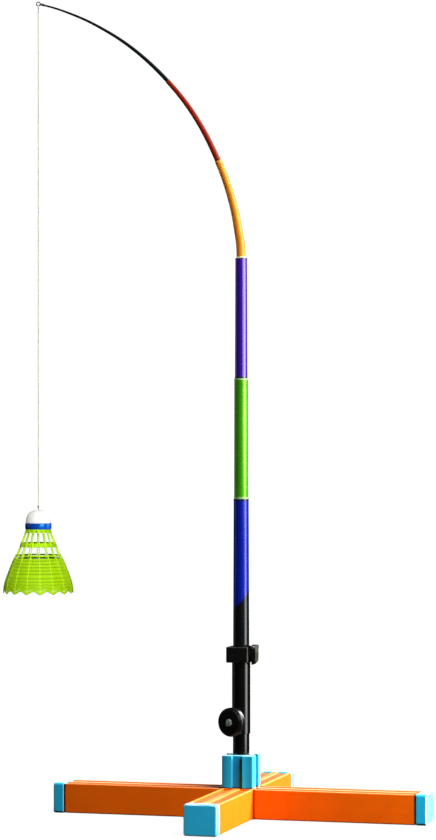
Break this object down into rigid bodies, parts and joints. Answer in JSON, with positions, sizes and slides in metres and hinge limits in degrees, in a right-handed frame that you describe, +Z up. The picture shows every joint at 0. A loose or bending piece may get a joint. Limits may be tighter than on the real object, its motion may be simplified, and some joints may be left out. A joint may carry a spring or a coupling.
{
  "type": "badminton rebound trainer",
  "caption": "Free-standing cross base with a telescopic pole that bends over into a thin tip and a shuttlecock hanging from it on a cord.",
  "frame": {"origin": "centre of the cross on the floor, on the underside of the base core", "axes": "+Z up along the pole, long arms along X, short arms along Y, front arm towards -Y; the rod bends over towards -X and a little -Y"},
  "size_m": [0.519, 0.376, 1.0158],
  "materials": {
    "core_orange": "satin moulded orange",
    "arm_orange": "satin orange powder coat on a steel box section",
    "cap_blue": "satin moulded blue",
    "zinc": "zinc plated",
    "tube_black": "gloss black",
    "pad": "natural nylon",
    "black_plastic": "moulded black",
    "rod_blue": "lacquered glass fibre, black below and blue above",
    "rod_green": "lacquered glass fibre",
    "rod_purple": "lacquered glass fibre",
    "rod_orange": "lacquered glass fibre",
    "rod_red": "lacquered glass fibre",
    "rod_tip": "lacquered glass fibre",
    "ring_steel": "dark wire",
    "cord": "braided nylon",
    "cork_white": "white skin over foam",
    "band_blue": "tape",
    "skirt_yellow": "fluorescent nylon"
  },
  "bodies": {
    "base": {"base_core": "core_orange", "arm_front": "arm_orange", "arm_right": "arm_orange", "arm_rear": "arm_orange", "arm_left": "arm_orange", "cap_front": "cap_blue", "cap_right": "cap_blue", "cap_rear": "cap_blue", "cap_left": "cap_blue", "screw_arm_front": "zinc", "screw_arm_right": "zinc", "screw_arm_rear": "zinc", "screw_arm_left": "zinc", "hub_socket": "cap_blue", "screw_hub_1": "zinc", "screw_hub_2": "zinc", "screw_hub_3": "zinc", "screw_hub_4": "zinc", "base_post": "tube_black", "post_grub_screw": "zinc"},
    "mast": {"outer_tube": "tube_black", "knob_boss": "zinc", "clamp_collar": "black_plastic", "lever_pin": "zinc"},
    "lock_pad": {"brake_pad": "pad"},
    "knob": {"lock_knob": "black_plastic", "knob_stud": "zinc"},
    "lever": {"clamp_lever": "black_plastic"},
    "shoe": {"clamp_shoe": "pad"},
    "bush": {"rod_bush": "black_plastic"},
    "butt": {"rod_butt": "rod_blue"},
    "green": {"green_section": "rod_green"},
    "purple": {"purple_section": "rod_purple", "orange_ferrule": "black_plastic"},
    "orange": {"orange_section": "rod_orange"},
    "red": {"red_section": "rod_red"},
    "tip": {"tip_section": "rod_tip", "tip_ring": "ring_steel"},
    "loop": {"line_loop": "cord"},
    "line": {"line_knot": "cord", "hanging_line": "cord"},
    "cork_knot": {"shuttle_knot": "cord"},
    "shuttle": {"shuttle_cork": "cork_white", "shuttle_band": "band_blue", "shuttle_skirt": "skirt_yellow"}
  },
  "joints": [
    {"name": "mast_height", "type": "slide", "parent": "base", "child": "mast", "axis": [0, 0, 1], "range_m": [-0.02, 0.015]},
    {"name": "knob_advance", "type": "slide", "parent": "mast", "child": "lock_pad", "axis": [-0.299, -0.9542, 0], "range_m": [0, 0.002]},
    {"name": "knob_turn", "type": "hinge", "parent": "lock_pad", "child": "knob", "pos_m": [0, 0, 0.1207], "axis": [-0.299, -0.9542, 0], "range_deg": [0, 720]},
    {"name": "clamp_lever_flip", "type": "hinge", "parent": "mast", "child": "lever", "pos_m": [0.0176, 0, 0.2136], "axis": [0, -1, 0], "range_deg": [0, 150]},
    {"name": "clamp_shoe_press", "type": "slide", "parent": "mast", "child": "shoe", "axis": [1, 0, 0], "range_m": [0, 0.000785]},
    {"name": "rod_height", "type": "slide", "parent": "mast", "child": "bush", "axis": [0, 0, 1], "range_m": [-0.012, 0.015]},
    {"name": "rod_swivel", "type": "hinge", "parent": "bush", "child": "butt", "pos_m": [0, 0, 0.176], "axis": [0, 0, 1], "continuous": true},
    {"name": "green_slide", "type": "slide", "parent": "butt", "child": "green", "axis": [0, 0, 1], "range_m": [-0.09, 0]},
    {"name": "purple_slide", "type": "slide", "parent": "green", "child": "purple", "axis": [0, 0, 1], "range_m": [-0.07, 0]},
    {"name": "orange_flex", "type": "hinge", "parent": "purple", "child": "orange", "pos_m": [0, 0, 0.699], "axis": [-0.3746, 0.9272, 0], "range_deg": [-6, 4], "stiffness_Nm_per_rad": 6, "springref_deg": 0.64},
    {"name": "red_flex", "type": "hinge", "parent": "orange", "child": "red", "pos_m": [-0.02717, -0.01098, 0.8209], "axis": [-0.3746, 0.9272, 0], "range_deg": [-7, 5], "stiffness_Nm_per_rad": 3, "springref_deg": 1.1},
    {"name": "tip_flex", "type": "hinge", "parent": "red", "child": "tip", "pos_m": [-0.08595, -0.03473, 0.9195], "axis": [-0.3746, 0.9272, 0], "range_deg": [-8, 6], "stiffness_Nm_per_rad": 1.5, "springref_deg": 1.52},
    {"name": "line_swing_out", "type": "hinge", "parent": "tip", "child": "loop", "pos_m": [-0.23504, -0.09496, 1.0128], "axis": [0.3746, -0.9272, 0], "range_deg": [-50, 13]},
    {"name": "line_swing_side", "type": "hinge", "parent": "loop", "child": "line", "pos_m": [-0.23504, -0.09496, 1.0031], "axis": [-0.9272, -0.3746, 0], "range_deg": [-50, 50]},
    {"name": "shuttle_tilt", "type": "hinge", "parent": "line", "child": "cork_knot", "pos_m": [-0.23504, -0.09496, 0.388], "axis": [-0.3746, 0.9272, 0], "range_deg": [-45, 45]},
    {"name": "shuttle_spin", "type": "hinge", "parent": "cork_knot", "child": "shuttle", "pos_m": [-0.23504, -0.09496, 0.38], "axis": [0, 0, 1], "continuous": true}
  ],
  "couplings": [
    {"joint": "knob_turn", "follows": "knob_advance", "rad_per_m": 6283.2},
    {"joint": "clamp_lever_flip", "follows": "clamp_shoe_press", "rad_per_m": 3333.3}
  ]
}
